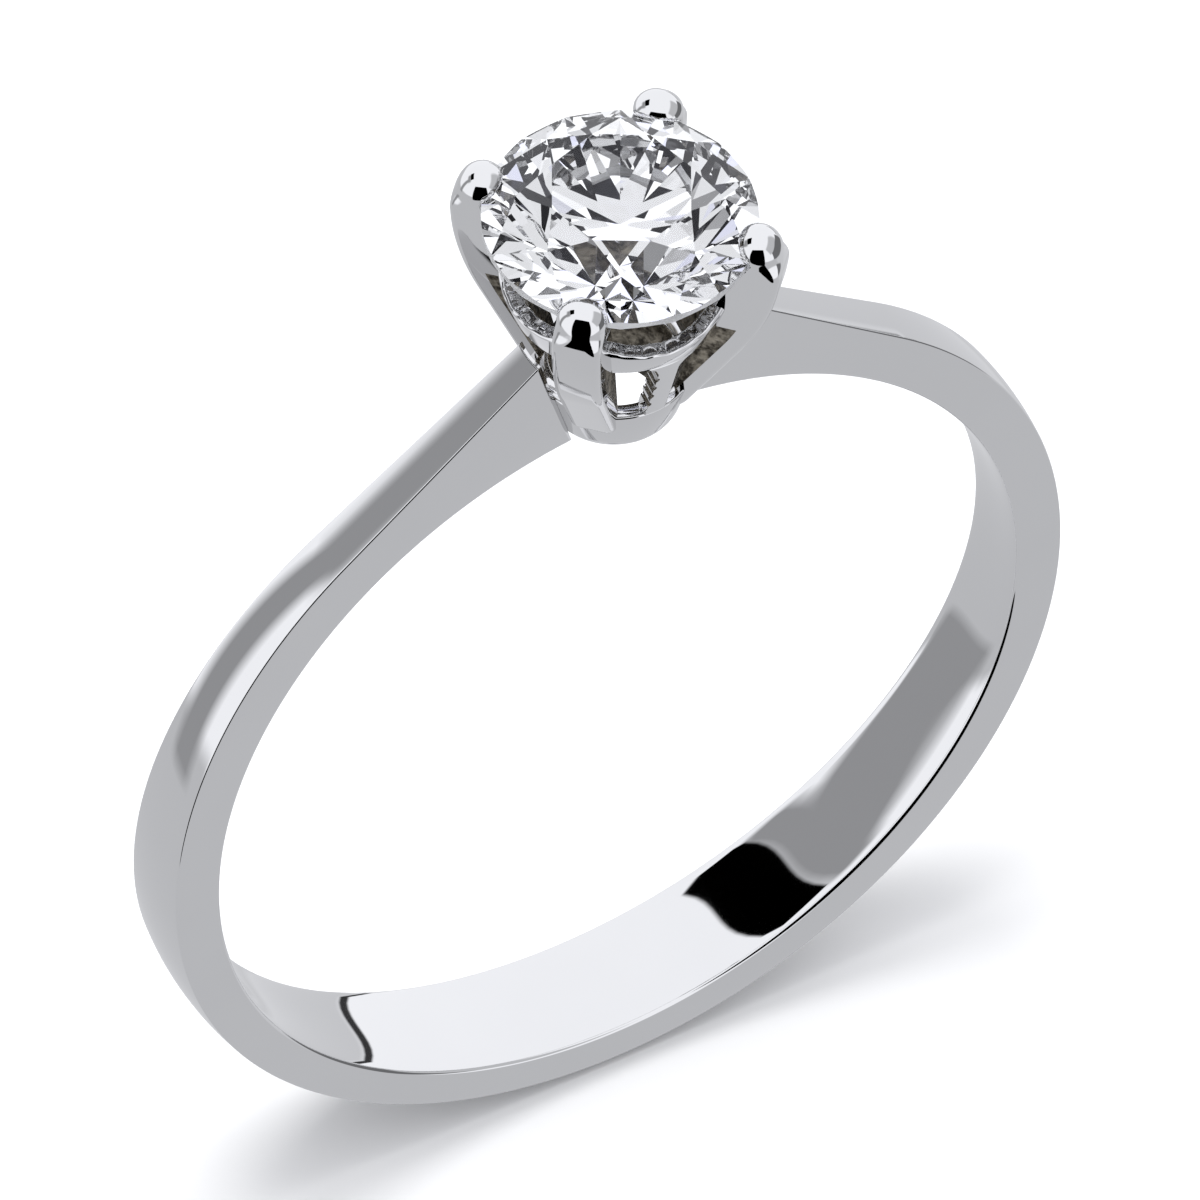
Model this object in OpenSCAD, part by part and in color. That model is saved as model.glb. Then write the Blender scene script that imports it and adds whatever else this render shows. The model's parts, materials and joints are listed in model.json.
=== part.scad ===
// Solitaire ring with a four-claw basket head and a round brilliant stone.
// The origin is the centre of the finger hole. The finger goes along Y and the stone points up +Z.
// Every height is measured from that centre, in millimetres.

/* [Finger hole] */
// Radius of the finger hole
finger_r = 8.6; // [7.5:0.05:10.5]

/* [Band] */
// Thickness of the band at the bottom of the ring
band_t = 0.95; // [0.8:0.05:1.1]
// How far the outside circle sits above the finger hole's centre, so the band thickens upwards
band_lift = 0.1; // [0:0.05:0.2]
// Width of the band at the bottom of the finger hole
foot_w = 2.38; // [1.8:0.01:3]
// Width of the band at the top of the finger hole
neck_w = 0.93; // [0.8:0.01:1.2]
// Radius of the gentle dome across the outside of the band
dome_r = 4.7; // [3:0.1:8]
// Slope of the straight shoulders that climb to the head, in degrees
shoulder_slope = 38.6; // [36:0.2:42]

/* [Basket] */
// Outside radius of the basket wall at the top of the base cup
cup_r = 1.57; // [1.5:0.01:1.7]
// Lean of the basket wall away from upright, in degrees
basket_lean = 15.7; // [13:0.1:17]
// Thickness of the basket wall
wall_t = 0.36; // [0.3:0.01:0.45]
// Height of the base cup above the finger hole
cup_h = 1.35; // [1.2:0.05:1.5]
// Rounding under the base cup
cup_round = 0.42; // [0.3:0.01:0.5]
// Height of the gallery rail's underside above the finger hole
rail_rise = 3.25; // [3:0.05:3.4]
// Height of the gallery rail at the claws
rail_h = 0.78; // [0.6:0.01:0.85]
// Depth of the hollow in the rail's top edge between two claws
rail_dip = 0.2; // [0.1:0.01:0.3]
// Width of a strut
strut_w = 0.42; // [0.3:0.01:0.6]
// Radius of the fillets where a strut flares into the rail
strut_flare = 0.34; // [0.2:0.01:0.45]

/* [Claws] */
// Radius from the head's axis to the outside of a claw's tip
claw_reach = 3.2; // [3.1:0.01:3.3]
// Radius of the rounded claw tip, half of the claw's width there
tip_r = 0.48; // [0.44:0.01:0.5]
// Height of the rounded tip above its widest point
tip_rise = 0.38; // [0.32:0.01:0.46]
// Half of the claw's width at its foot
claw_foot_r = 0.44; // [0.36:0.01:0.46]
// Lean of the claw's lower part away from upright, in degrees
claw_lean = 28.8; // [26:0.2:30]
// Bend radius of the claw's upper part
claw_bend_r = 4.8; // [4.5:0.1:5.2]
// Radius of the claw's inner face just under the stone
claw_seat_r = 2.4; // [2.35:0.01:2.45]

/* [Stone] */
// Diameter of the round brilliant stone
stone_d = 5.2; // [5.1:0.05:5.3]
// Height of the middle of the girdle above the finger hole
girdle_rise = 5.26; // [5.2:0.01:5.35]
// Thickness of the girdle
girdle_t = 0.2; // [0.12:0.01:0.25]
// Table diameter as a share of the stone's diameter
table_ratio = 0.54; // [0.52:0.005:0.6]
// Angle of the crown's main facets to the girdle, in degrees
crown_angle = 34.5; // [33:0.1:36]
// Angle of the pavilion's main facets to the girdle, in degrees
pavilion_angle = 40.8; // [40:0.1:42]
// Length of the star facets as a share of the way from table to girdle
star_ratio = 0.5; // [0.45:0.01:0.6]
// Length of the lower half facets as a share of the way from girdle to culet
lower_half_ratio = 0.77; // [0.7:0.01:0.85]
// Turn of the stone in its claws, in degrees
stone_turn = -7; // [-22:1:22]

/* [Hidden] */
$fn = 96;

white_gold = [0.80, 0.80, 0.80];
clear_stone = [0.93, 0.95, 0.98, 0.6];

// The cup's foot stands this far clear of the finger
cup_gap = 0.02;
// Heights along the head, from the foot of the cup to the girdle
cup_bottom_z = finger_r + cup_gap;
cup_top_z = finger_r + cup_h;
rail_bottom_z = finger_r + rail_rise;
rail_top_z = rail_bottom_z + rail_h;
girdle_z = finger_r + girdle_rise;
// Height where the claws' rounded tips are widest, just above the girdle
tip_z = girdle_z + 0.14;
// Height where the claws' bend ends and they stand upright, just under the girdle
bend_z = girdle_z - 0.06;
// Height of the middle of the claws' rounded feet
claw_foot_z = finger_r + 0.87;
// Height where the claws' inner faces first meet the underside of the stone
claw_bearing_z = girdle_z - 0.25;

// The band's outside circle at the crown of its dome
outside_r = finger_r + band_t + band_lift;
// Depth of the bar that each shoulder is cut from, enough to reach the finger hole at the head
shoulder_depth = outside_r - finger_r * 0.6;
// Direction of the point where the round band turns into the straight shoulder, from +X
shoulder_start = 90 - shoulder_slope;
// The round part carries on this far inside each shoulder, in degrees, so the two are joined firmly
shoulder_overlap = 5;
// The shoulder's crown line is sunk this far below the round part, so it comes out of it at an angle
shoulder_sink = 0.01;
// The shoulder bar ends inside the head, where the basket's cone cuts it off
shoulder_len = finger_r * 0.7;

// Change in the band's width for each millimetre of height
width_slope = (foot_w - neck_w) / (2 * finger_r);
// Half of the height of the wedge that the band's two sides are cut from, above and below the ring
wedge_h = outside_r * 1.5;
// Height inside the finger hole where the cone that trims the shoulders starts
cone_low_z = finger_r * 0.9;

stone_r = stone_d / 2;
table_r = stone_r * table_ratio;
// Angle between two neighbouring main facets
facet_step = 45;
// Points round the girdle
girdle_steps = 96;
girdle_top_z = girdle_z + girdle_t / 2;
girdle_low_z = girdle_z - girdle_t / 2;
crown_h = (stone_r - table_r) * tan(crown_angle);
// Distance from the stone's axis to the middle of a half facet's chord across the girdle
girdle_chord_r = stone_r * cos(facet_step / 4);
// Setting clearance between the stone and its claws
seat_gap = 0.01;

// Radius of the basket wall's outside at a height
function wall_r(z) = cup_r + (z - cup_top_z) * tan(basket_lean);
// Width of the band at a height
function band_w(z) = (foot_w + neck_w) / 2 - width_slope * z;
// Points on an arc about c, from angle a to angle b
function arc(c, r, a, b, steps = 12) =
    [for (i = [0:steps]) let (t = a + (b - a) * i / steps) c + r * [cos(t), sin(t)]];

// Outline of a claw's rounded tip about c, wider than it is high
function tip_arc(c, steps = 24) =
    [for (i = [0:steps]) let (t = 180 * i / steps) c + [tip_r * cos(t), tip_rise * sin(t)]];

// ---- Band ----

// Section of the band: X is away from the finger, Y is along it, and the outside is domed
module band_section() {
    intersection() {
        translate([outside_r - dome_r, 0]) circle(r = dome_r);
        translate([outside_r - shoulder_depth, -foot_w]) square([shoulder_depth, 2 * foot_w]);
    }
}

// The round part, from one shoulder round under the finger to the other
module round_band() {
    end = shoulder_start + shoulder_overlap;
    translate([0, 0, band_lift])
        rotate([90, end - 180, 0])
            rotate_extrude(angle = 180 + 2 * end, $fn = 240) band_section();
}

// A straight shoulder, which leaves the round part almost at a tangent
module shoulder() {
    translate([0, 0, band_lift])
        rotate([0, -shoulder_start, 0])
            translate([-shoulder_sink, 0, 0])
                linear_extrude(shoulder_len) band_section();
}

// The two flat sides of the band lean towards each other as they climb
module side_wedge() {
    rotate([90, 0, 90])
        linear_extrude(4 * finger_r, center = true)
            polygon([
                [-band_w(-wedge_h) / 2, -wedge_h], [band_w(-wedge_h) / 2, -wedge_h],
                [band_w(wedge_h) / 2, wedge_h], [-band_w(wedge_h) / 2, wedge_h]
            ]);
}

module finger_hole() {
    rotate([90, 0, 0]) cylinder(r = finger_r, h = 4 * foot_w, center = true, $fn = 240);
}

// The solid cone inside the basket wall's outside face
module basket_cone() {
    translate([0, 0, cone_low_z])
        cylinder(r1 = wall_r(cone_low_z), r2 = wall_r(rail_top_z), h = rail_top_z - cone_low_z);
}

module shank() {
    color(white_gold)
        difference() {
            intersection() {
                union() {
                    round_band();
                    shoulder();
                    mirror([1, 0, 0]) shoulder();
                }
                side_wedge();
            }
            finger_hole();
            basket_cone();
        }
}

// ---- Basket ----

// Section through the whole basket wall, between two heights
module wall_section(low, high) {
    polygon([
        [wall_r(low) - wall_t, low], [wall_r(low), low],
        [wall_r(high), high], [wall_r(high) - wall_t, high]
    ]);
}

// The lower cup, open at the bottom under the culet, with a rounded foot
module base_cup() {
    round_z = cup_bottom_z + cup_round;
    centre = [wall_r(round_z) - cup_round, round_z];
    color(white_gold)
        rotate_extrude()
            polygon(concat(
                [[wall_r(cup_bottom_z) - wall_t, cup_bottom_z]],
                arc(centre, cup_round, -90, 0),
                [[wall_r(cup_top_z), cup_top_z], [wall_r(cup_top_z) - wall_t, cup_top_z]]
            ));
}

// The upper rail, whose top edge dips between the claws
module gallery_rail() {
    dip_r = (pow(cup_r, 2) / 2 + pow(rail_dip, 2)) / (2 * rail_dip);
    color(white_gold)
        difference() {
            rotate_extrude() wall_section(rail_bottom_z, rail_top_z);
            for (turn = [0:90:270])
                rotate([0, 0, turn])
                    translate([0, 0, rail_top_z - rail_dip + dip_r])
                        rotate([0, 90, 0]) cylinder(r = dip_r, h = 2 * cup_r);
        }
}

// A strut seen from outside: a narrow stem that flares into the rail
module strut_outline() {
    stem_h = rail_bottom_z - cup_top_z;
    flare_w = strut_w / 2 + strut_flare;
    difference() {
        translate([-flare_w, cup_top_z]) square([2 * flare_w, stem_h]);
        for (side = [0, 1]) mirror([side, 0]) {
            translate([flare_w, rail_bottom_z - strut_flare]) circle(r = strut_flare);
            translate([strut_w / 2, cup_bottom_z])
                square([2 * strut_flare, rail_bottom_z - strut_flare - cup_bottom_z]);
        }
    }
}

module strut() {
    color(white_gold)
        intersection() {
            rotate_extrude() wall_section(cup_top_z, rail_bottom_z);
            rotate([90, 0, 0]) linear_extrude(2 * cup_r) strut_outline();
        }
}

module strut_front() { strut(); }

module strut_back() { rotate([0, 0, 180]) strut(); }

// ---- Claws ----

// A claw seen from the side: X is away from the head's axis and Y is up
module claw_side() {
    bend_centre = [claw_reach - claw_bend_r, bend_z];
    bend_low = bend_centre + claw_bend_r * [cos(claw_lean), -sin(claw_lean)];
    foot_low_z = claw_foot_z - claw_foot_r;
    foot_out = [bend_low[0] - (bend_low[1] - foot_low_z) * tan(claw_lean), foot_low_z];
    tip = [claw_reach - tip_r, tip_z];
    polygon(concat(
        [[foot_out[0] - tip_r, foot_low_z], foot_out],
        arc(bend_centre, claw_bend_r, -claw_lean, 0),
        tip_arc(tip),
        [
            [claw_seat_r, girdle_z], [claw_seat_r, claw_bearing_z],
            [wall_r(rail_top_z) - wall_t / 2, rail_top_z]
        ]
    ));
}

// A claw seen from outside: it widens towards its round tip
module claw_front() {
    translate([0, claw_foot_z]) circle(r = claw_foot_r);
    polygon(concat([[-claw_foot_r, claw_foot_z], [claw_foot_r, claw_foot_z]], tip_arc([0, tip_z])));
}

// One claw at a direction round the head, notched for the stone and seated on the basket wall
module claw(direction) {
    color(white_gold)
        difference() {
            rotate([0, 0, direction])
                intersection() {
                    rotate([90, 0, 0]) linear_extrude(4 * tip_r, center = true) claw_side();
                    rotate([90, 0, 90]) linear_extrude(2 * claw_reach) claw_front();
                }
            basket_cone();
            stone_seat();
        }
}

module claw_front_left() { claw(225); }

module claw_front_right() { claw(315); }

module claw_back_left() { claw(135); }

module claw_back_right() { claw(45); }

// ---- Stone ----

// Round brilliant: table, 8 stars, 8 crown mains, 16 upper halves, 16 lower halves, 8 pavilion mains.
// The facets are the flats between the corners below, so the stone is the hull of those corners.
module brilliant() {
    star_edge_r = table_r * cos(facet_step / 2);
    star_tip_r = star_edge_r + star_ratio * (stone_r - star_edge_r);
    half_tip_r = stone_r * (1 - lower_half_ratio);
    // Heights above and below the girdle where those tips lie on the ridge between two mains
    star_tip_h = (stone_r - star_tip_r * cos(facet_step / 2)) * tan(crown_angle);
    half_tip_h = (stone_r - half_tip_r * cos(facet_step / 2)) * tan(pavilion_angle);
    // Steepness of the upper and lower halves, which set how the girdle's two edges are scalloped
    upper_steepness = star_tip_h / (girdle_chord_r - star_tip_r * cos(facet_step / 4));
    lower_steepness = half_tip_h / (girdle_chord_r - half_tip_r * cos(facet_step / 4));
    corners = concat(
        ring_of(8, 0, table_r, girdle_top_z + crown_h),
        ring_of(8, facet_step / 2, star_tip_r, girdle_top_z + star_tip_h),
        girdle_edge(girdle_top_z, -upper_steepness),
        girdle_edge(girdle_low_z, lower_steepness),
        ring_of(8, facet_step / 2, half_tip_r, girdle_low_z - half_tip_h),
        [[0, 0, girdle_low_z - stone_r * tan(pavilion_angle)]]
    );
    rotate([0, 0, stone_turn])
        hull() polyhedron(points = corners, faces = [[for (i = [0:len(corners) - 1]) i]]);
}

// A count of points spaced evenly round a circle of radius r at height z
function ring_of(count, first, r, z) =
    [for (i = [0:count - 1]) let (t = first + i * 360 / count) [r * cos(t), r * sin(t), z]];

// One edge of the girdle: it dips where each half facet bites into the round
function girdle_edge(z, steepness) =
    [for (i = [0:girdle_steps - 1])
        let (t = i * 360 / girdle_steps, off = (t % (facet_step / 2)) - facet_step / 4)
        [stone_r * cos(t), stone_r * sin(t), z + (stone_r * cos(off) - girdle_chord_r) * steepness]];

// The plain round shape that just holds the stone, for cutting the claws' notches
module stone_seat() {
    seat_r = stone_r + seat_gap;
    rotate_extrude()
        polygon([
            [0, girdle_low_z - seat_r * tan(pavilion_angle)], [seat_r, girdle_low_z - seat_gap],
            [seat_r, girdle_top_z + seat_gap],
            [table_r + seat_gap, girdle_top_z + crown_h + seat_gap],
            [0, girdle_top_z + crown_h + seat_gap]
        ]);
}

module diamond() {
    color(clear_stone) brilliant();
}

shank();
base_cup();
gallery_rail();
strut_front();
strut_back();
claw_front_left();
claw_front_right();
claw_back_left();
claw_back_right();
diamond();
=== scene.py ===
import json
from math import atan, atan2, cos, hypot, pi, radians, sin, sqrt, tan
import bmesh
import bpy
from mathutils import Matrix, Vector


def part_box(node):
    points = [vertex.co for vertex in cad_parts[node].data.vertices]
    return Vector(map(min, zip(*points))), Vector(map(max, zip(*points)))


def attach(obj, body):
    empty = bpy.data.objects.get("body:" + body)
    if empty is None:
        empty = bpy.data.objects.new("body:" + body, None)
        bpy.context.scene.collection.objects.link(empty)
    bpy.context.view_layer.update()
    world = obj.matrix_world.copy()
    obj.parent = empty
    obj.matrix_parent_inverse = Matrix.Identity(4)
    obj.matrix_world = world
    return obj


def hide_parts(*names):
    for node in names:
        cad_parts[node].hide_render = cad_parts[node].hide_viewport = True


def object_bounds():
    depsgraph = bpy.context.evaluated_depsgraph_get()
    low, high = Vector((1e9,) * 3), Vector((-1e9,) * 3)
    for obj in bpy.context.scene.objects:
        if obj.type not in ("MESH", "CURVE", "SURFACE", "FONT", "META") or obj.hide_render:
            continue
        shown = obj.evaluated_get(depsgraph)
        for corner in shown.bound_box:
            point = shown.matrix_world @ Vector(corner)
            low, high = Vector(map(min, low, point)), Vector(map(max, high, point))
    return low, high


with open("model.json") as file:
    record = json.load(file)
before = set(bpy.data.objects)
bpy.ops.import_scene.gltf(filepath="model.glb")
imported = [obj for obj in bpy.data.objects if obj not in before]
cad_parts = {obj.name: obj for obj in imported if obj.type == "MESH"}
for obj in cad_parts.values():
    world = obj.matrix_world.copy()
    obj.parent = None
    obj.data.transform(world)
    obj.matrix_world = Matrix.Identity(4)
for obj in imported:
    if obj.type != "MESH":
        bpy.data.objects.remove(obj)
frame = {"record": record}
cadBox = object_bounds()
mm = 0.001
tiny = 1e-7  # points closer than this are merged

bore = frame["record"]["mounts"][0]["dims"]
cupBox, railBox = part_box("base_cup"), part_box("gallery_rail")
clawBox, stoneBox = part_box("claw_back_right"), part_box("diamond")

basket = {
    "cupR": cupBox[1].x,
    "cupLow": cupBox[0].z,
    "cupTop": cupBox[1].z,
    "railLow": railBox[0].z,
    "railTop": railBox[1].z,
    "wall": 0.36 * mm,
    "spinSteps": 192,
}
basket["spread"] = (railBox[1].x - cupBox[1].x) / (railBox[1].z - cupBox[1].z)  # how the wall leans out


def wallR(z):  # outside radius of the basket wall at a height
    return basket["cupR"] + (z - basket["cupTop"]) * basket["spread"]


def finishPiece(bm, name, nodes, materials, smooth=True, weighted=True):
    bmesh.ops.remove_doubles(bm, verts=bm.verts, dist=tiny)
    bmesh.ops.recalc_face_normals(bm, faces=bm.faces)
    mesh = bpy.data.meshes.new(name)
    for face in bm.faces:
        face.smooth = smooth
    bm.to_mesh(mesh)
    bm.free()
    for material in materials:
        mesh.materials.append(material)
    piece = bpy.data.objects.new(name, mesh)
    bpy.context.scene.collection.objects.link(piece)
    if weighted:
        even = piece.modifiers.new("evenShading", "WEIGHTED_NORMAL")
        even.weight = 100
        even.keep_sharp = True
    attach(piece, "root")
    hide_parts(*nodes)
    print("made", name, len(mesh.polygons), "faces")
    return piece


def bevelEdges(bm, edges, width, segments):
    return bmesh.ops.bevel(bm, geom=edges, offset=width, offset_type="OFFSET", segments=segments,
                           profile=0.5, affect="EDGES", material=-1, clamp_overlap=True)


def ringProfile(bm, corners, steps):  # spins an outline of (radius, height) corners round the head's axis
    verts = [bm.verts.new((r, 0, z)) for r, z in corners]
    edges = [bm.edges.new((verts[i - 1], verts[i])) for i in range(len(verts))]
    bmesh.ops.spin(bm, geom=verts + edges, cent=(0, 0, 0), axis=(0, 0, 1), dvec=(0, 0, 0),
                   angle=2 * pi, steps=steps, use_merge=True)
    bmesh.ops.remove_doubles(bm, verts=bm.verts, dist=tiny)


def circleEdges(bm, r, z, slack=0.02 * mm):  # edges that run round the head's axis at a radius and height
    return [e for e in bm.edges
            if all(abs(hypot(v.co.x, v.co.y) - r) < slack and abs(v.co.z - z) < slack for v in e.verts)]


def paintInsideCastShade(bm, slotIndex):  # gives the faces that look towards the head's axis the as-cast finish, whose dark colour is painted shade
    for face in bm.faces:
        middle = face.calc_center_median()
        outward = Vector((middle.x, middle.y, 0)).normalized()
        if face.normal.dot(outward) < -0.5:
            face.material_index = slotIndex


def newGroup(name, inputs, outputs):
    group = bpy.data.node_groups.new(name, "ShaderNodeTree")
    for label, kind, start in inputs:
        socket = group.interface.new_socket(name=label, in_out="INPUT", socket_type=kind)
        if start is not None:
            socket.default_value = start
    for label, kind in outputs:
        group.interface.new_socket(name=label, in_out="OUTPUT", socket_type=kind)
    entry, leave = group.nodes.new("NodeGroupInput"), group.nodes.new("NodeGroupOutput")
    return group, entry, leave


def mathNode(tree, operation, a, b=None, clamp=False):
    node = tree.nodes.new("ShaderNodeMath")
    node.operation, node.use_clamp = operation, clamp
    for socket, value in zip(node.inputs, (a, b)):
        if value is None:
            continue
        if isinstance(value, (int, float)):
            socket.default_value = value
        else:
            tree.links.new(value, socket)
    return node.outputs[0]


def noiseNode(tree, vector, scale, detail=3, roughness=0.5):
    node = tree.nodes.new("ShaderNodeTexNoise")
    node.inputs["Scale"].default_value = scale
    node.inputs["Detail"].default_value = detail
    node.inputs["Roughness"].default_value = roughness
    tree.links.new(vector, node.inputs["Vector"])
    return node.outputs["Fac"]


wearLook = {
    "cloudScale": 900,
    "lineScale": 5200,
    "lineStretch": (1, 7, 1),  # the polishing lines run round the finger
    "cloudHeight": 0.4,
}


def buildPolishWear():  # faint polishing lines and cloudiness: a roughness and a height
    group, entry, leave = newGroup("polishWear", [
        ("Vector", "NodeSocketVector", None), ("Base", "NodeSocketFloat", 0.03),
        ("Cloud", "NodeSocketFloat", 0.02), ("Lines", "NodeSocketFloat", 0.3)],
        [("Roughness", "NodeSocketFloat"), ("Height", "NodeSocketFloat")])
    stretch = group.nodes.new("ShaderNodeMapping")
    stretch.inputs["Scale"].default_value = wearLook["lineStretch"]
    group.links.new(entry.outputs["Vector"], stretch.inputs["Vector"])
    cloud = noiseNode(group, entry.outputs["Vector"], wearLook["cloudScale"], 4)
    lines = noiseNode(group, stretch.outputs[0], wearLook["lineScale"], 2, 0.7)
    cloudPart = mathNode(group, "MULTIPLY", cloud, entry.outputs["Cloud"])
    group.links.new(mathNode(group, "ADD", cloudPart, entry.outputs["Base"]), leave.inputs["Roughness"])
    linePart = mathNode(group, "MULTIPLY", lines, entry.outputs["Lines"])
    cloudRise = mathNode(group, "MULTIPLY", cloud, wearLook["cloudHeight"])
    group.links.new(mathNode(group, "ADD", linePart, cloudRise), leave.inputs["Height"])
    return group


def newMaterial(name):
    material = bpy.data.materials.new(name)
    material.use_nodes = True
    tree = material.node_tree
    return material, tree, tree.nodes["Principled BSDF"]


def objectPlace(tree):
    return tree.nodes.new("ShaderNodeTexCoord").outputs["Object"]


def mixColour(tree, factor, low, high):
    mix = tree.nodes.new("ShaderNodeMix")
    mix.data_type = "RGBA"
    tree.links.new(factor, mix.inputs["Factor"])
    mix.inputs["A"].default_value = (*low, 1)
    mix.inputs["B"].default_value = (*high, 1)
    return mix.outputs["Result"]


goldLook = {
    "deep": (0.66, 0.66, 0.665),
    "bright": (0.70, 0.70, 0.705),
    "tintScale": 260,
    "roughness": 0.02,
    "cloud": 0.02,
    "lineHeight": 0.3,
    "bumpDepth": 0.00000004,
}


def polishedGold(wear):
    material, tree, shader = newMaterial("polishedWhiteGold")
    place = objectPlace(tree)
    finish = tree.nodes.new("ShaderNodeGroup")
    finish.node_tree = wear
    tree.links.new(place, finish.inputs["Vector"])
    finish.inputs["Base"].default_value = goldLook["roughness"]
    finish.inputs["Cloud"].default_value = goldLook["cloud"]
    finish.inputs["Lines"].default_value = goldLook["lineHeight"]
    tint = noiseNode(tree, place, goldLook["tintScale"], 3)
    tree.links.new(mixColour(tree, tint, goldLook["deep"], goldLook["bright"]), shader.inputs["Base Color"])
    tree.links.new(finish.outputs["Roughness"], shader.inputs["Roughness"])
    bump = tree.nodes.new("ShaderNodeBump")
    bump.inputs["Strength"].default_value = 1
    bump.inputs["Distance"].default_value = goldLook["bumpDepth"]
    tree.links.new(finish.outputs["Height"], bump.inputs["Height"])
    tree.links.new(bump.outputs["Normal"], shader.inputs["Normal"])
    shader.inputs["Metallic"].default_value = 1
    return material


# as-cast metal for the inside of the basket: its roughness and lumps are real, but its dark brown colour is
# painted shade for that recess
castShadeLook = {
    "dark": (0.05, 0.042, 0.03),
    "light": (0.42, 0.38, 0.31),
    "grain": 5200,
    "darkBelow": 0.38,  # the lumps are all dark under this level and all light over the next one
    "lightAbove": 0.66,
    "bumpDepth": 0.00004,
    "roughness": 0.32,
    "cloud": 0.2,
}


# the as-cast finish, with painted shade in its dark brown base colour
def castGoldWithShade(wear):
    material, tree, shader = newMaterial("castGoldPaintedShade")
    place = objectPlace(tree)
    lumps = noiseNode(tree, place, castShadeLook["grain"], 3, 0.6)
    contrast = tree.nodes.new("ShaderNodeMapRange")
    contrast.inputs["From Min"].default_value = castShadeLook["darkBelow"]
    contrast.inputs["From Max"].default_value = castShadeLook["lightAbove"]
    tree.links.new(lumps, contrast.inputs["Value"])
    tree.links.new(mixColour(tree, contrast.outputs[0], castShadeLook["dark"], castShadeLook["light"]),
                   shader.inputs["Base Color"])
    finish = tree.nodes.new("ShaderNodeGroup")
    finish.node_tree = wear
    tree.links.new(place, finish.inputs["Vector"])
    finish.inputs["Base"].default_value = castShadeLook["roughness"]
    finish.inputs["Cloud"].default_value = castShadeLook["cloud"]
    tree.links.new(finish.outputs["Roughness"], shader.inputs["Roughness"])
    bump = tree.nodes.new("ShaderNodeBump")
    bump.inputs["Distance"].default_value = castShadeLook["bumpDepth"]
    tree.links.new(lumps, bump.inputs["Height"])
    tree.links.new(bump.outputs["Normal"], shader.inputs["Normal"])
    shader.inputs["Metallic"].default_value = 1
    return material


stoneLook = {
    "ior": 2.417,
    "cool": (0.985, 0.99, 1.0),
    "white": (1.0, 1.0, 1.0),
    "hazeScale": 600,
    "outerShine": (0.2, 0.2, 0.22),  # holds back the mirror image on the table, which hides the facets
    "girdleCool": (0.86, 0.88, 0.9),
    "girdleGrain": 9000,
    "girdleRoughness": 0.35,
    "girdleClear": 0.6,
}


def diamondMaterial():
    material, tree, shader = newMaterial("diamond")
    haze = noiseNode(tree, objectPlace(tree), stoneLook["hazeScale"], 2)
    colour = mixColour(tree, haze, stoneLook["cool"], stoneLook["white"])
    tree.links.new(colour, shader.inputs["Base Color"])
    shader.inputs["Roughness"].default_value = 0
    shader.inputs["IOR"].default_value = stoneLook["ior"]
    shader.inputs["Specular Tint"].default_value = (*stoneLook["outerShine"], 1)
    shader.inputs["Transmission Weight"].default_value = 1
    return material


def girdleMaterial():
    material, tree, shader = newMaterial("brutedGirdle")
    grain = noiseNode(tree, objectPlace(tree), stoneLook["girdleGrain"], 3)
    colour = mixColour(tree, grain, stoneLook["girdleCool"], stoneLook["white"])
    tree.links.new(colour, shader.inputs["Base Color"])
    shader.inputs["Roughness"].default_value = stoneLook["girdleRoughness"]
    shader.inputs["IOR"].default_value = stoneLook["ior"]
    shader.inputs["Transmission Weight"].default_value = stoneLook["girdleClear"]
    return material


wearGroup = buildPolishWear()
# the second metal is the as-cast finish with painted shade, used on inner faces
polished, castWithShade = polishedGold(wearGroup), castGoldWithShade(wearGroup)
metals = [polished, castWithShade]
clear, bruted = diamondMaterial(), girdleMaterial()
print("materials ready")


band = {
    "holeR": bore["r_mm"] * mm,
    "footWidth": bore["length_mm"] * mm,
    "neckWidth": 0.93 * mm,
    "lift": 0.1 * mm,
    "domeR": 4.7 * mm,
    "shoulderSlope": radians(38.6),
    "sweep": radians(171),  # each way from the foot, before the ends are fitted to the basket
    "endLow": radians(160),  # the ends are looked for between these two turns
    "endHigh": radians(179),
    "endRounds": 40,
    "steps": 720,
    "acrossOutside": 28,
    "acrossInside": 12,
    "upSides": 4,
    "outerEdge": 0.065 * mm,
    "innerEdge": 0.07 * mm,
    "comfort": 0.035 * mm,  # how far the hole opens out towards its two rims
}
band["outsideR"] = band["lift"] - cadBox[0].z  # at the crown of the dome


def bandHalfWidth(z):
    middle = (band["footWidth"] + band["neckWidth"]) / 4
    return middle - (band["footWidth"] - band["neckWidth"]) / (4 * band["holeR"]) * z


def bandOutside(turn):  # distance from the finger's axis to the crown line; turn is 0 at the foot
    side, up = abs(sin(turn)), -cos(turn)
    lift, big = band["lift"], band["outsideR"]
    circle = up * lift + sqrt(big * big - (lift * side) ** 2)
    start = pi / 2 - band["shoulderSlope"]
    if atan2(circle * up - lift, circle * side) <= start:
        return circle
    return (big + sin(start) * lift) / (side * cos(start) + up * sin(start))


def bandPoint(turn, level, across):  # level is 0 in the hole and 1 outside; across runs from -1 to 1
    hole = band["holeR"] + band["comfort"] * across ** 4
    r = hole
    for _ in range(3):  # the width depends on the height, so it is found in a few rounds
        y = across * bandHalfWidth(-cos(turn) * r)
        drop = band["domeR"] - sqrt(band["domeR"] ** 2 - y * y)
        r = hole + level * (bandOutside(turn) - drop - hole)
    return Vector((sin(turn) * r, y, -cos(turn) * r))


def bandEnd(level, across):  # the turn at which the shoulder meets the basket's wall
    low, high = band["endLow"], band["endHigh"]
    for _ in range(band["endRounds"]):
        turn = (low + high) / 2
        p = bandPoint(turn, level, across)
        if hypot(p.x, p.y) > wallR(p.z):
            low = turn
        else:
            high = turn
    return low


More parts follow.
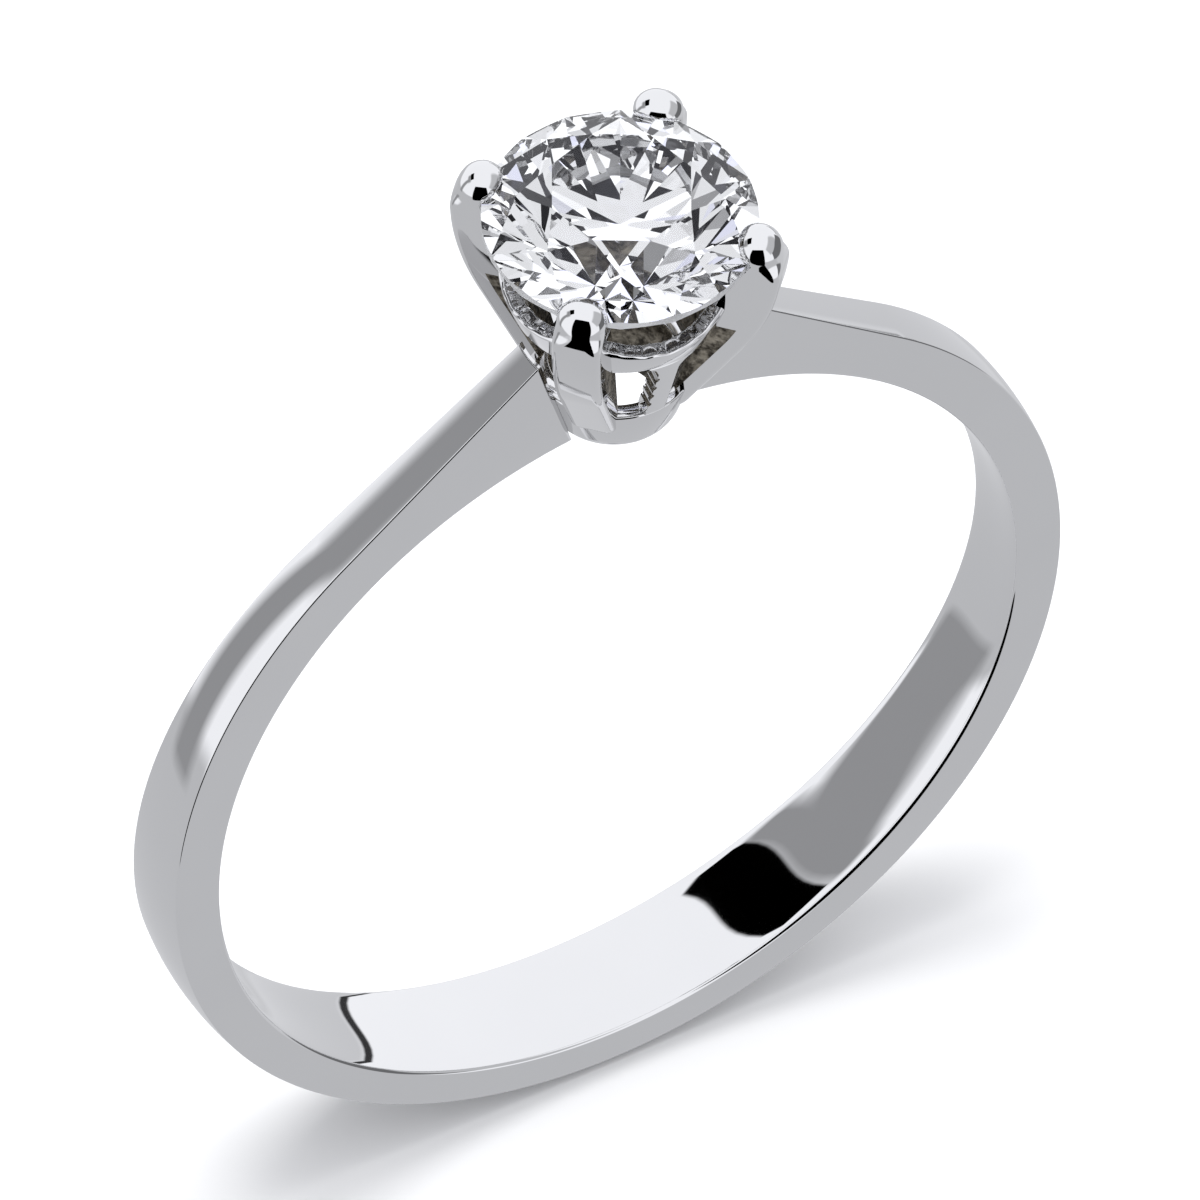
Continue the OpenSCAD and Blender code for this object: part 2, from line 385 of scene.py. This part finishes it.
def makeShank():
    bm = bmesh.new()
    full = band["sweep"]
    corners = [bm.verts.new((r * sin(-full), y, -r * cos(full)))  # a plain square is swept, then shaped
               for r, y in ((1, -1), (2, -1), (2, 1), (1, 1))]
    edges = [bm.edges.new((corners[i], corners[(i + 1) % 4])) for i in range(4)]
    for edge, key in zip(edges, ("upSides", "acrossOutside", "upSides", "acrossInside")):
        bmesh.ops.subdivide_edges(bm, edges=[edge], cuts=band[key] - 1)
    bmesh.ops.spin(bm, geom=bm.verts[:] + bm.edges[:], cent=(0, 0, 0), axis=(0, -1, 0), dvec=(0, 0, 0),
                   angle=2 * full, steps=band["steps"], use_merge=False)
    bmesh.ops.holes_fill(bm, edges=[e for e in bm.edges if e.is_boundary], sides=0)
    outerRim, innerRim, ends = [], [], {}
    for edge in bm.edges:
        levels = [hypot(v.co.x, v.co.z) - 1 for v in edge.verts]
        if all(abs(abs(v.co.y) - 1) < 1e-4 for v in edge.verts):
            if min(levels) > 0.999:
                outerRim.append(edge)
            elif max(levels) < 0.001:
                innerRim.append(edge)
    for v in bm.verts:
        level, across = hypot(v.co.x, v.co.z) - 1, v.co.y
        key = (round(level, 4), round(across, 4))
        if key not in ends:
            ends[key] = bandEnd(level, across)
        v.co = bandPoint(atan2(v.co.x, -v.co.z) * ends[key] / full, level, across)
    bmesh.ops.recalc_face_normals(bm, faces=bm.faces)
    for face in bm.faces:  # the two end faces stay as cast, with the painted shade of the as-cast finish where they meet the basket
        if len(face.verts) > 4:
            face.material_index = 1
    bevelEdges(bm, outerRim, band["outerEdge"], 3)
    innerRim = [e for e in innerRim if e.is_valid]
    bevelEdges(bm, innerRim, band["innerEdge"], 4)
    return finishPiece(bm, "band", ["shank"], metals)


makeShank()


cup = {"footRound": 0.40 * mm, "edge": 0.05 * mm}
rail = {
    "dip": 0.2 * mm,
    "topEdge": 0.13 * mm,
    "edge": 0.04 * mm,
    "wave": 0.022 * mm,
    "ripples": 26,
    "swells": 7,
}
strut = {
    "width": 0.42 * mm,
    "flare": 0.34 * mm,
    "rows": 60,
    "edge": 0.04 * mm,
    "notches": 4,
    "notchDepth": 0.06 * mm,
    "notchStart": 0.12,  # share of the height where the saw teeth start and end
    "notchEnd": 0.8,
}


def wallRing(low, high):  # a ring of the basket's wall between two heights
    bm = bmesh.new()
    wall = basket["wall"]
    corners = [(wallR(low) - wall, low), (wallR(low), low), (wallR(high), high), (wallR(high) - wall, high)]
    ringProfile(bm, corners, basket["spinSteps"])
    bmesh.ops.recalc_face_normals(bm, faces=bm.faces)
    # the inner faces get the as-cast finish with painted shade
    paintInsideCastShade(bm, 1)
    return bm


def makeCup():
    low, high, wall = basket["cupLow"], basket["cupTop"], basket["wall"]
    bm = wallRing(low, high)
    bevelEdges(bm, circleEdges(bm, wallR(low), low), cup["footRound"], 10)
    bevelEdges(bm, circleEdges(bm, wallR(high), high), cup["edge"], 3)
    bevelEdges(bm, circleEdges(bm, wallR(high) - wall, high), cup["edge"], 3)
    return finishPiece(bm, "baseCup", ["base_cup"], metals)


def makeRail():
    low, high, wall = basket["railLow"], basket["railTop"], basket["wall"]
    bm = wallRing(low, high)
    topOut, topIn = circleEdges(bm, wallR(high), high), circleEdges(bm, wallR(high) - wall, high)
    lowOut, lowIn = circleEdges(bm, wallR(low), low), circleEdges(bm, wallR(low) - wall, low)
    bevelEdges(bm, topOut, rail["topEdge"], 5)
    bevelEdges(bm, [e for e in topIn + lowOut + lowIn if e.is_valid], rail["edge"], 3)
    for v in bm.verts:
        share = max(0, (v.co.z - (low + high) / 2) / ((high - low) / 2))
        turn = atan2(v.co.y, v.co.x)
        v.co.z -= rail["dip"] * share * cos(2 * turn) ** 2
        v.co.z -= rail["wave"] * share * (1 + sin(rail["ripples"] * turn) * sin(rail["swells"] * turn + 1))
    return finishPiece(bm, "galleryRail", ["gallery_rail"], metals)


def makeStrut(side, name, node):
    bm = bmesh.new()
    low, high, wall = basket["cupTop"], basket["railLow"], basket["wall"]
    bmesh.ops.create_grid(bm, x_segments=10, y_segments=3, size=0.5)
    face = bm.faces[:]
    stem, flare = strut["width"] / 2, strut["flare"]
    rows = strut["rows"]
    for i in range(rows):
        made = bmesh.ops.extrude_face_region(bm, geom=face)["geom"]
        up = [g for g in made if isinstance(g, bmesh.types.BMVert)]
        bmesh.ops.translate(bm, verts=up, vec=(0, 0, 1))
        if i:
            bmesh.ops.delete(bm, geom=face, context="FACES_ONLY")
        face = [g for g in made if isinstance(g, bmesh.types.BMFace)]
    notched = strut["notchEnd"] - strut["notchStart"]
    for v in bm.verts:
        share = v.co.z / rows
        z = low + (high - low) * share
        rise = z - (high - flare)
        half = stem + (flare - sqrt(max(0, flare ** 2 - rise ** 2)) if rise > 0 else 0)
        if v.co.x < -0.49 and strut["notchStart"] < share < strut["notchEnd"]:
            half -= strut["notchDepth"] * max(0, sin(share * 2 * pi * strut["notches"] / notched))
        across = v.co.x * 2 * half
        r = wallR(z) - (v.co.y + 0.5) * wall
        turn = side + across / wallR(z)
        v.co = (r * cos(turn), r * sin(turn), z)
    bmesh.ops.recalc_face_normals(bm, faces=bm.faces)
    # the inner faces get the as-cast finish with painted shade
    paintInsideCastShade(bm, 1)
    upright = [e for e in bm.edges if len(e.link_faces) == 2 and e.calc_face_angle() > radians(60)
               and abs(e.verts[0].co.z - e.verts[1].co.z) > 0.2 * (high - low) / rows]
    bevelEdges(bm, upright, strut["edge"], 3)
    return finishPiece(bm, name, [node], metals)


makeCup()
makeRail()
makeStrut(-pi / 2, "strutFront", "strut_front")
makeStrut(pi / 2, "strutBack", "strut_back")


stone = {
    "r": 2.6 * mm,
    "top": stoneBox[1].z,
    "culet": stoneBox[0].z,
    "crownAngle": radians(34.5),
    "pavilionAngle": radians(40.8),
    "tableRatio": 0.54,
    "starRatio": 0.5,
    "lowerRatio": 0.77,
    "turn": radians(-7),
    "girdleSegments": 96,
    "gap": 0.012 * mm,  # between the stone and the claws' notches
}
stone["tableR"] = stone["r"] * stone["tableRatio"]
stone["girdleTop"] = stone["top"] - (stone["r"] - stone["tableR"]) * tan(stone["crownAngle"])
stone["girdleLow"] = stone["culet"] + stone["r"] * tan(stone["pavilionAngle"])


def cutFacet(bm, turn, angle, point, upward):  # slices one flat off the stone and closes it
    tilt = sin(angle)
    normal = Vector((tilt * cos(turn), tilt * sin(turn), cos(angle) * upward))
    cut = bmesh.ops.bisect_plane(bm, geom=bm.verts[:] + bm.edges[:] + bm.faces[:], dist=1e-9,
                                 plane_co=point, plane_no=normal, clear_outer=True)
    if any(isinstance(g, bmesh.types.BMEdge) for g in cut["geom_cut"]):
        bmesh.ops.holes_fill(bm, edges=[e for e in bm.edges if e.is_boundary], sides=0)


def around(r, turn, z):
    return Vector((r * cos(turn), r * sin(turn), z))


def makeStone():
    bm = bmesh.new()
    r, tableR = stone["r"], stone["tableR"]
    step, half = radians(45), radians(22.5)
    top, low = stone["girdleTop"], stone["girdleLow"]
    crown, pavilion = stone["crownAngle"], stone["pavilionAngle"]
    starEdge = tableR * cos(half)
    starTip = starEdge + stone["starRatio"] * (r - starEdge)
    starTipZ = top + (r - starTip * cos(half)) * tan(crown)
    chord = r * cos(step / 4)
    upperAngle = atan((starTipZ - top) / (chord - starTip * cos(step / 4)))
    halfTip = r * (1 - stone["lowerRatio"])
    halfTipDrop = (r - halfTip * cos(half)) * tan(pavilion)
    lowerAngle = atan(halfTipDrop / (chord - halfTip * cos(step / 4)))
    starAngle = atan((stone["top"] - starTipZ) / (starTip - starEdge))
    height = stone["top"] - stone["culet"]
    middle = Matrix.Translation((0, 0, (stone["top"] + stone["culet"]) / 2))
    bmesh.ops.create_cone(bm, cap_ends=True, segments=stone["girdleSegments"], radius1=r, radius2=r,
                          depth=height, matrix=middle)
    bmesh.ops.rotate(bm, verts=bm.verts, cent=(0, 0, 0), matrix=Matrix.Rotation(stone["turn"], 3, "Z"))
    for k in range(8):
        main = stone["turn"] + k * step
        cutFacet(bm, main, crown, around(r, main, top), 1)
        cutFacet(bm, main + half, starAngle, around(starEdge, main + half, stone["top"]), 1)
        cutFacet(bm, main, pavilion, around(r, main, low), -1)
        for side in (0.25, 0.75):
            turn = main + side * step
            cutFacet(bm, turn, upperAngle, around(chord, turn, top), 1)
            cutFacet(bm, turn, lowerAngle, around(chord, turn, low), -1)
    bmesh.ops.remove_doubles(bm, verts=bm.verts, dist=0.0005 * mm)
    bmesh.ops.recalc_face_normals(bm, faces=bm.faces)
    for face in bm.faces:
        face.material_index = 1 if abs(face.normal.z) < 0.05 else 0
    return finishPiece(bm, "stone", ["diamond"], [clear, bruted], smooth=False, weighted=False)


makeStone()


def stoneReach(z):  # radius of the plain cone round the stone at a height
    r, gap = stone["r"], stone["gap"]
    if z > stone["girdleTop"]:
        return max(0, r - (z - stone["girdleTop"]) / tan(stone["crownAngle"])) + gap
    if z < stone["girdleLow"]:
        return max(0, r - (stone["girdleLow"] - z) / tan(stone["pavilionAngle"])) + gap
    return r + gap


claw = {
    "reach": 3.2 * mm,
    "tipR": 0.48 * mm,
    "tipRise": 0.38 * mm,
    "tipZ": clawBox[1].z - 0.38 * mm,
    "footR": 0.44 * mm,
    "footZ": clawBox[0].z + 0.44 * mm,
    "bendR": 4.8 * mm,
    "bendZ": (stone["girdleTop"] + stone["girdleLow"]) / 2 - 0.06 * mm,
    "lean": radians(28.8),
    "seatR": 2.4 * mm,
    "sink": 0.85,  # share of the basket's wall that the claw is let into
    "tipBlend": 0.45 * mm,  # the flat face turns into the round tip over this height
    # below this height the claw's inner part gets the as-cast finish with painted shade
    "castShadeTop": basket["railLow"] + 0.12 * mm,
    "notchLow": basket["railTop"] + 0.3 * mm,  # the stone's notch starts above this height
    "edgeRound": 0.17 * mm,
    "innerRound": 0.07 * mm,
    "footDraw": 0.26 * mm,  # how far the rounded foot is drawn in
    "crownStart": 0.34 * mm,  # the outside starts to curve in this far under the tip
    "polished": 0.42 * mm,  # depth of the polished part, seen from outside
    "cornerSteps": 7,
    "footSteps": 8,
    "bodySteps": 60,
    "tipSteps": 16,
    "tipEnd": 0.9993,  # share of the tip's rise where it is closed
}


def clawOutside(z):  # outer profile of the claw, seen from its side
    bendX = claw["reach"] - claw["bendR"]
    lowX = bendX + claw["bendR"] * cos(claw["lean"])
    lowZ = claw["bendZ"] - claw["bendR"] * sin(claw["lean"])
    if z < lowZ:
        return lowX - (lowZ - z) * tan(claw["lean"])
    if z < claw["bendZ"]:
        return bendX + sqrt(claw["bendR"] ** 2 - (claw["bendZ"] - z) ** 2)
    return claw["reach"]


def clawInside(z):  # inner profile, before the stone's notch is cut
    low, high, sink = basket["railTop"], stone["girdleLow"], claw["sink"] * basket["wall"]
    if z < low:
        return wallR(z) - sink
    if z < high:
        start = wallR(low) - sink
        return start + (claw["seatR"] - start) * (z - low) / (high - low)
    return claw["reach"] - 2 * claw["tipR"]


def clawWidth(z):  # half width seen from outside: round at the foot and at the tip
    foot, tip = claw["footZ"], claw["tipZ"]
    if z < foot:
        return sqrt(max(0, claw["footR"] ** 2 - (foot - z) ** 2))
    if z > tip:
        return claw["tipR"] * sqrt(max(0, 1 - ((z - tip) / claw["tipRise"]) ** 2))
    return claw["footR"] + (claw["tipR"] - claw["footR"]) * (z - foot) / (tip - foot)


def roundedRing(inside, outside, half, outRound, inRound, steps):  # from the outside's +Y corner round
    points = []
    depth = outside - inside
    outRound, inRound = min(outRound, half, depth / 2), min(inRound, half, depth / 2)
    cut = max(inside + inRound, min(outside - outRound, outside - claw["polished"]))  # the polish ends here
    corners = (
        (outside - outRound, half - outRound, outRound, 0),
        (inside + inRound, half - inRound, inRound, 90),
        (inside + inRound, inRound - half, inRound, 180),
        (outside - outRound, outRound - half, outRound, 270),
    )
    for cx, cy, r, start in corners:
        if start == 90:
            points.append((cut, half))
        elif start == 270:
            points.append((cut, -half))
        for i in range(steps + 1):
            a = radians(start + 90 * i / steps)
            points.append((cx + r * cos(a), cy + r * sin(a)))
    return points


def clawHeights():
    foot, tip, footR, rise = claw["footZ"], claw["tipZ"], claw["footR"], claw["tipRise"]
    footSteps, bodySteps, tipSteps = claw["footSteps"], claw["bodySteps"], claw["tipSteps"]
    low = [foot - footR * cos(radians(90 * (i + 0.4) / footSteps)) for i in range(footSteps)]
    body = [foot + (tip - foot) * i / bodySteps for i in range(bodySteps)]
    high = [tip + rise * sin(radians(90 * i / tipSteps)) for i in range(tipSteps)]
    return low + body + high + [tip + rise * claw["tipEnd"]]


def clawFace(z):  # outer profile, drawn in towards the foot and the crown of the tip
    foot, start = claw["footZ"], claw["tipZ"] - claw["crownStart"]
    if z < foot:
        return clawOutside(z) - claw["footDraw"] * (1 - sqrt(max(0, 1 - ((foot - z) / claw["footR"]) ** 2)))
    if z < start:
        return clawOutside(z)
    height = claw["tipRise"] + claw["crownStart"]
    return claw["reach"] - claw["tipR"] * (1 - sqrt(max(0, 1 - ((z - start) / height) ** 2)))


def clawRing(z):
    tip, tipR = claw["tipZ"], claw["tipR"]
    half = clawWidth(z)
    if z > tip:
        centre = claw["reach"] - tipR
        outside = min(centre + half, clawFace(z))
        ring = roundedRing(centre - half, outside, half, half, half, claw["cornerSteps"])
    else:
        blend = max(0, 1 - (tip - z) / claw["tipBlend"])
        blend = blend * blend * (3 - 2 * blend)
        inRound = claw["innerRound"] + (tipR - claw["innerRound"]) * blend
        outRound = claw["edgeRound"] + (tipR - claw["edgeRound"]) * blend
        ring = roundedRing(clawInside(z), clawFace(z), half, outRound, inRound, claw["cornerSteps"])
    reach = stoneReach(z)
    fitted = []
    for x, y in ring:
        if hypot(x, y) < reach and z > claw["notchLow"]:
            x = sqrt(reach * reach - y * y)
        fitted.append((x, y))
    return fitted


def makeClaw(direction, name, node):
    bm = bmesh.new()
    heights = clawHeights()
    count = 4 * (claw["cornerSteps"] + 1) + 2
    bmesh.ops.create_circle(bm, cap_ends=True, radius=1, segments=count)
    loop = bm.verts[:]
    face = bm.faces[:]
    for i, z in enumerate(heights):
        if i:
            made = bmesh.ops.extrude_face_region(bm, geom=face)["geom"]
            if i > 1:
                bmesh.ops.delete(bm, geom=face, context="FACES_ONLY")
            face = [g for g in made if isinstance(g, bmesh.types.BMFace)]
            loop = list(face[0].verts)
        for v, (x, y) in zip(loop, clawRing(z)):
            v.co = (x, y, z)
    for side in bm.faces:  # the tools only reach the outer part of a claw beside the rail and cup; the inner part there gets the as-cast finish, painted dark as shade between the claw and the basket
        middle = side.calc_center_median()
        if middle.z < claw["castShadeTop"] and middle.x < clawFace(middle.z) - claw["polished"]:
            side.material_index = 1
    bmesh.ops.rotate(bm, verts=bm.verts, cent=(0, 0, 0), matrix=Matrix.Rotation(direction, 3, "Z"))
    bmesh.ops.recalc_face_normals(bm, faces=bm.faces)
    return finishPiece(bm, name, [node], metals)


for direction, name, node in (
        (225, "clawFrontLeft", "claw_front_left"), (315, "clawFrontRight", "claw_front_right"),
        (135, "clawBackLeft", "claw_back_left"), (45, "clawBackRight", "claw_back_right")):
    makeClaw(radians(direction), name, node)


cameraView = {
    "azimuth": radians(-31.63),
    "elevation": radians(50.01),
    "roll": radians(2.62),
    "frameWidth": 22.554 * mm,
    "distance": 1.0,
    "sensor": 36,
    "clip": (0.01, 10),
    "aimRight": -0.05 * mm,
    "aimUp": 0.126 * mm,
}


def makeCamera():
    data = bpy.data.cameras.new("camera")
    camera = bpy.data.objects.new("camera", data)
    bpy.context.scene.collection.objects.link(camera)
    azimuth, elevation = cameraView["azimuth"], cameraView["elevation"]
    back = Vector((sin(azimuth) * cos(elevation), -cos(azimuth) * cos(elevation), sin(elevation)))
    facing = (-back).to_track_quat("-Z", "Y").to_matrix()
    right, up = facing @ Vector((1, 0, 0)), facing @ Vector((0, 1, 0))
    rolled = Matrix.Rotation(cameraView["roll"], 3, back) @ facing
    aim = (cadBox[0] + cadBox[1]) / 2 + right * cameraView["aimRight"] + up * cameraView["aimUp"]
    camera.matrix_world = Matrix.Translation(aim + back * cameraView["distance"]) @ rolled.to_4x4()
    data.sensor_width = cameraView["sensor"]
    data.lens = cameraView["sensor"] * cameraView["distance"] / cameraView["frameWidth"]
    data.clip_start, data.clip_end = cameraView["clip"]
    bpy.context.scene.camera = camera


makeCamera()


floorLook = {"size": 3, "colour": (0.9, 0.9, 0.9)}


def makeFloor():
    bm = bmesh.new()
    bmesh.ops.create_grid(bm, x_segments=1, y_segments=1, size=floorLook["size"])
    bmesh.ops.translate(bm, verts=bm.verts, vec=(0, 0, cadBox[0].z))
    mesh = bpy.data.meshes.new("floor")
    bm.to_mesh(mesh)
    bm.free()
    floor = bpy.data.objects.new("floor", mesh)
    bpy.context.scene.collection.objects.link(floor)
    material = bpy.data.materials.new("paper")
    material.use_nodes = True
    shader = material.node_tree.nodes["Principled BSDF"]
    shader.inputs["Base Color"].default_value = (*floorLook["colour"], 1)
    shader.inputs["Roughness"].default_value = 1
    shader.inputs["Specular IOR Level"].default_value = 0
    mesh.materials.append(material)
    floor.visible_glossy = False  # the metal shows the studio's own ground instead
    floor.visible_transmission = False
    floor.visible_diffuse = False


makeFloor()


studio = {  # what the metal mirrors: a bright sky, a grey ground and cards laid over them
    "sky": 1.28,
    "ground": 0.69,
    "skyline": -0.26,  # height on the unit sphere where the ground turns into the sky
    "skylineBlur": 0.06,
    "seenBehind": 1.2,  # what the camera itself sees behind the floor
    "tint": (0.975, 0.985, 1.02),
    "cards": {  # azimuth and elevation of the middle, width and height, turn, blur (degrees), brightness
        "groundRight": (5, -25, 80, 40, 0, 6, 0.80),
        "behindCamera": (-124, 8, 68, 94, 0, 2, 0.0),
        "rightHaze": (-30, 30, 60, 40, 0, 8, 0.70),
        "rightDark": (-18, -4, 64, 32, 0, 4, 0.20),
        "skylineGap": (33, -4, 30, 2.5, 0, 0.8, 0.05),
        "leftStripe": (143.5, 5, 13, 60, 0, 5, 0.40),
        "leftGrey": (137, 36, 28, 16, 0, 8, 0.40),
        "flag": (127.2, 49.4, 26, 16.2, -16.4, 1, 0.0),
    },
}

sparkle = {  # what the stone's facets show: a white room with black screens in it
    "sky": 1.25,
    "ground": 0.25,
    "skyline": 0.10,
    "skylineBlur": 0.06,
    "cards": {
        "wideGrey": (-121, 55, 70, 50, 0, 8, 0.80),
        "cameraSide": (-121, 50, 24, 24, 0, 1, 0.0),
        "screenOne": (112, 54, 14, 26, 0, 1, 0.0),
        "screenTwo": (10, 52, 14, 26, 0, 1, 0.0),
        "screenThree": (-165, 24, 16, 18, 0, 1, 0.0),
        "screenFour": (-78, 22, 16, 18, 0, 1, 0.0),
        "screenFive": (60, 40, 12, 20, 0, 1, 0.05),
        "screenSix": (-121, 82, 12, 12, 0, 1, 0.0),
        "screenSeven": (150, 70, 12, 12, 0, 1, 0.0),
        "screenEight": (-40, 70, 12, 12, 0, 1, 0.0),
    },
    "tint": (0.86, 0.88, 1.1),
    "tinted": {
        "blueScreen": (150, 40, 24, 30, 0, 4, 1.0),
        "violetScreen": (-20, 45, 26, 30, 0, 4, 1.0),
        "lowLeft": (-150, 35, 20, 20, 0, 4, 0.8),
    },
}


def buildCardGroup():  # lays one card's brightness over what is behind it, by direction
    group, entry, leave = newGroup("lightCard", [
        ("Behind", "NodeSocketFloat", 1.0), ("Direction", "NodeSocketVector", None),
        ("Forward", "NodeSocketVector", None), ("Right", "NodeSocketVector", None),
        ("Up", "NodeSocketVector", None), ("Half Width", "NodeSocketFloat", 0.1),
        ("Half Height", "NodeSocketFloat", 0.1), ("Blur", "NodeSocketFloat", 0.05),
        ("Brightness", "NodeSocketFloat", 0.0)], [("Result", "NodeSocketFloat")])

    def along(axis):
        node = group.nodes.new("ShaderNodeVectorMath")
        node.operation = "DOT_PRODUCT"
        group.links.new(entry.outputs["Direction"], node.inputs[0])
        group.links.new(entry.outputs[axis], node.inputs[1])
        return node.outputs["Value"]

    ahead = along("Forward")
    safe = mathNode(group, "MAXIMUM", ahead, 0.001)

    def inside(axis, half):
        off = mathNode(group, "ABSOLUTE", mathNode(group, "DIVIDE", along(axis), safe))
        room = mathNode(group, "SUBTRACT", entry.outputs[half], off)
        soft = mathNode(group, "DIVIDE", room, entry.outputs["Blur"])
        return mathNode(group, "ADD", soft, 0.5, clamp=True)

    mask = mathNode(group, "MULTIPLY", inside("Right", "Half Width"), inside("Up", "Half Height"))
    mask = mathNode(group, "MULTIPLY", mask, mathNode(group, "GREATER_THAN", ahead, 0.001))
    change = mathNode(group, "SUBTRACT", entry.outputs["Brightness"], entry.outputs["Behind"])
    laid = mathNode(group, "MULTIPLY", mask, change)
    group.links.new(mathNode(group, "ADD", entry.outputs["Behind"], laid), leave.inputs["Result"])
    return group


def layCards(tree, direction, level, cards, cardGroup):
    for name, (azimuth, elevation, width, height, turn, blur, brightness) in cards.items():
        a, e, t = radians(azimuth), radians(elevation), radians(turn)
        forward = Vector((cos(a) * cos(e), sin(a) * cos(e), sin(e)))
        flat = Vector((sin(a), -cos(a), 0))
        steep = flat.cross(forward)
        card = tree.nodes.new("ShaderNodeGroup")
        card.node_tree, card.label = cardGroup, name
        card.inputs["Forward"].default_value = forward
        card.inputs["Right"].default_value = flat * cos(t) + steep * sin(t)
        card.inputs["Up"].default_value = steep * cos(t) - flat * sin(t)
        card.inputs["Half Width"].default_value = tan(radians(width / 2))
        card.inputs["Half Height"].default_value = tan(radians(height / 2))
        card.inputs["Blur"].default_value = radians(blur)
        card.inputs["Brightness"].default_value = brightness
        tree.links.new(direction, card.inputs["Direction"])
        if isinstance(level, (int, float)):
            card.inputs["Behind"].default_value = level
        else:
            tree.links.new(level, card.inputs["Behind"])
        level = card.outputs["Result"]
    return level


def skyAndGround(tree, direction, room):
    split = tree.nodes.new("ShaderNodeSeparateXYZ")
    tree.links.new(direction, split.inputs[0])
    rise = tree.nodes.new("ShaderNodeMapRange")
    rise.interpolation_type = "SMOOTHSTEP"
    rise.inputs["From Min"].default_value = room["skyline"] - room["skylineBlur"]
    rise.inputs["From Max"].default_value = room["skyline"] + room["skylineBlur"]
    rise.inputs["To Min"].default_value = room["ground"]
    rise.inputs["To Max"].default_value = room["sky"]
    tree.links.new(split.outputs["Z"], rise.inputs["Value"])
    return rise.outputs[0]


def mixLevels(tree, factor, low, high):
    mix = tree.nodes.new("ShaderNodeMix")
    tree.links.new(factor, mix.inputs["Factor"])
    for socket, value in (("A", low), ("B", high)):
        if isinstance(value, (int, float)):
            mix.inputs[socket].default_value = value
        else:
            tree.links.new(value, mix.inputs[socket])
    return mix.outputs[0]


def makeWorld():
    world = bpy.data.worlds.new("studio")
    bpy.context.scene.world = world
    world.use_nodes = True
    tree = world.node_tree
    background = tree.nodes["Background"]
    direction = tree.nodes.new("ShaderNodeTexCoord").outputs["Generated"]
    cardGroup = buildCardGroup()
    seen = tree.nodes.new("ShaderNodeLightPath")
    throughStone = seen.outputs["Is Transmission Ray"]
    onMetal = layCards(tree, direction, skyAndGround(tree, direction, studio), studio["cards"], cardGroup)
    inStone = layCards(tree, direction, skyAndGround(tree, direction, sparkle), sparkle["cards"], cardGroup)
    level = mixLevels(tree, throughStone, onMetal, inStone)
    level = mixLevels(tree, seen.outputs["Is Camera Ray"], level, studio["seenBehind"])
    tree.links.new(level, background.inputs["Strength"])
    coloured = layCards(tree, direction, 0, sparkle["tinted"], cardGroup)
    tinted = mathNode(tree, "MULTIPLY", coloured, throughStone)
    tree.links.new(mixColour(tree, tinted, studio["tint"], sparkle["tint"]), background.inputs["Color"])


makeWorld()


keyLight = {"size": 0.55, "power": 5.5, "place": (-0.06, 0.19, 1.0)}


def makeKeyLight():  # only for the soft shadow under the ring
    data = bpy.data.lights.new("keyLight", "AREA")
    data.size = keyLight["size"]
    data.energy = keyLight["power"]
    light = bpy.data.objects.new("keyLight", data)
    bpy.context.scene.collection.objects.link(light)
    light.location = keyLight["place"]
    light.rotation_euler = (-Vector(light.location)).to_track_quat("-Z", "Y").to_euler()
    light.visible_glossy = False
    light.visible_transmission = False
    light.visible_camera = False


makeKeyLight()
print("camera, floor and light ready")

scene = bpy.context.scene
scene.view_settings.view_transform = "Standard"
scene.cycles.max_bounces = 24
scene.cycles.transmission_bounces = 20
scene.cycles.glossy_bounces = 10
